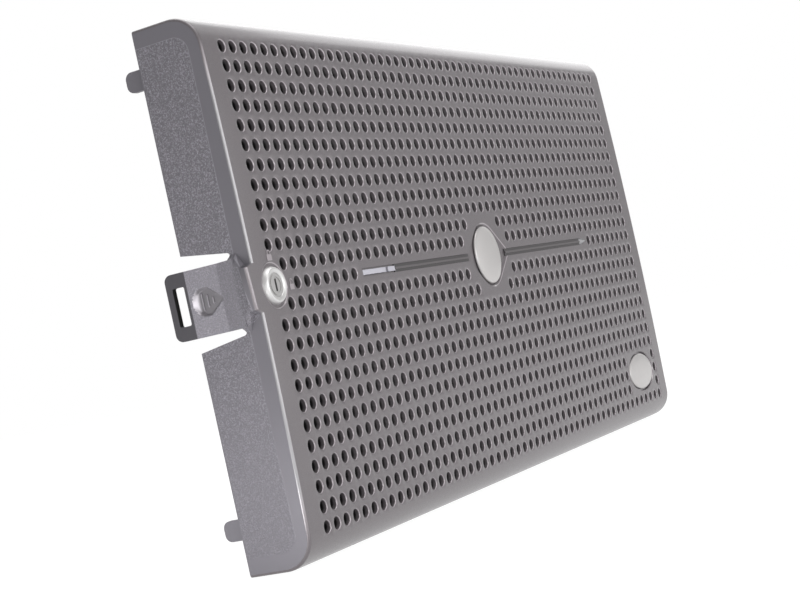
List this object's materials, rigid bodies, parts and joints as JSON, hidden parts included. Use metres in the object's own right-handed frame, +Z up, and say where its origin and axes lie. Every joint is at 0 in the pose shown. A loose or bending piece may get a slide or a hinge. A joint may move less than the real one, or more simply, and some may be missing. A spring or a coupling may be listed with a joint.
{
  "type": "server front bezel",
  "caption": "Perforated clip-on front bezel for a rack server, with crowned face, rolled edges, key lock, sprung release tab, light slot and blank round and oval badges.",
  "frame": {"origin": "bottom edge of the rear rim, midway between the end walls, which is where the bezel's back meets the server", "axes": "+X to the right seen from the front, +Y to the back, towards the server, +Z up; the face looks along -Y"},
  "size_m": [0.4484, 0.0423, 0.221],
  "materials": {
    "face": "moulded plastic with a fine satin metallic paint, mid grey",
    "cap": "moulded plastic, satin cool grey with a fine grained field",
    "lock": "die-cast zinc, satin chrome plated",
    "steel": "zinc plated steel",
    "brass": "plain brass",
    "spring": "spring steel",
    "badge": "pale satin metal, left bare",
    "pad": "black adhesive foam",
    "trim": "dark glossy plastic strip",
    "lens": "clear light pipe plastic",
    "screw": "black oxide steel"
  },
  "bodies": {
    "shell": {"face_panel": "face", "left_end_cap": "cap", "right_end_cap": "cap", "lock_body": "lock", "lock_washer": "steel", "lock_nut": "steel", "centre_badge": "badge", "centre_badge_pad": "pad", "oval_badge": "badge", "oval_badge_pad": "pad", "groove_trim_left": "trim", "groove_trim_right": "trim", "indicator_lens": "lens", "activity_lens": "lens", "left_cap_screws": "screw", "right_cap_screws": "screw"},
    "tab": {"release_tab": "cap"},
    "lock_rotor": {"lock_plug": "lock", "lock_cam": "steel", "cam_screw": "steel", "key_wafers": "brass", "wafer_springs": "spring"}
  },
  "joints": [
    {"name": "tab_flex", "type": "hinge", "parent": "shell", "child": "tab", "pos_m": [-0.2223, -0.0219, 0.11], "axis": [0, 0, -1], "range_deg": [0, 5], "stiffness_Nm_per_rad": 0.5},
    {"name": "lock_turn", "type": "hinge", "parent": "shell", "child": "lock_rotor", "pos_m": [-0.2086, -0.025, 0.1105], "axis": [0, 1, 0], "range_deg": [0, 90]}
  ]
}
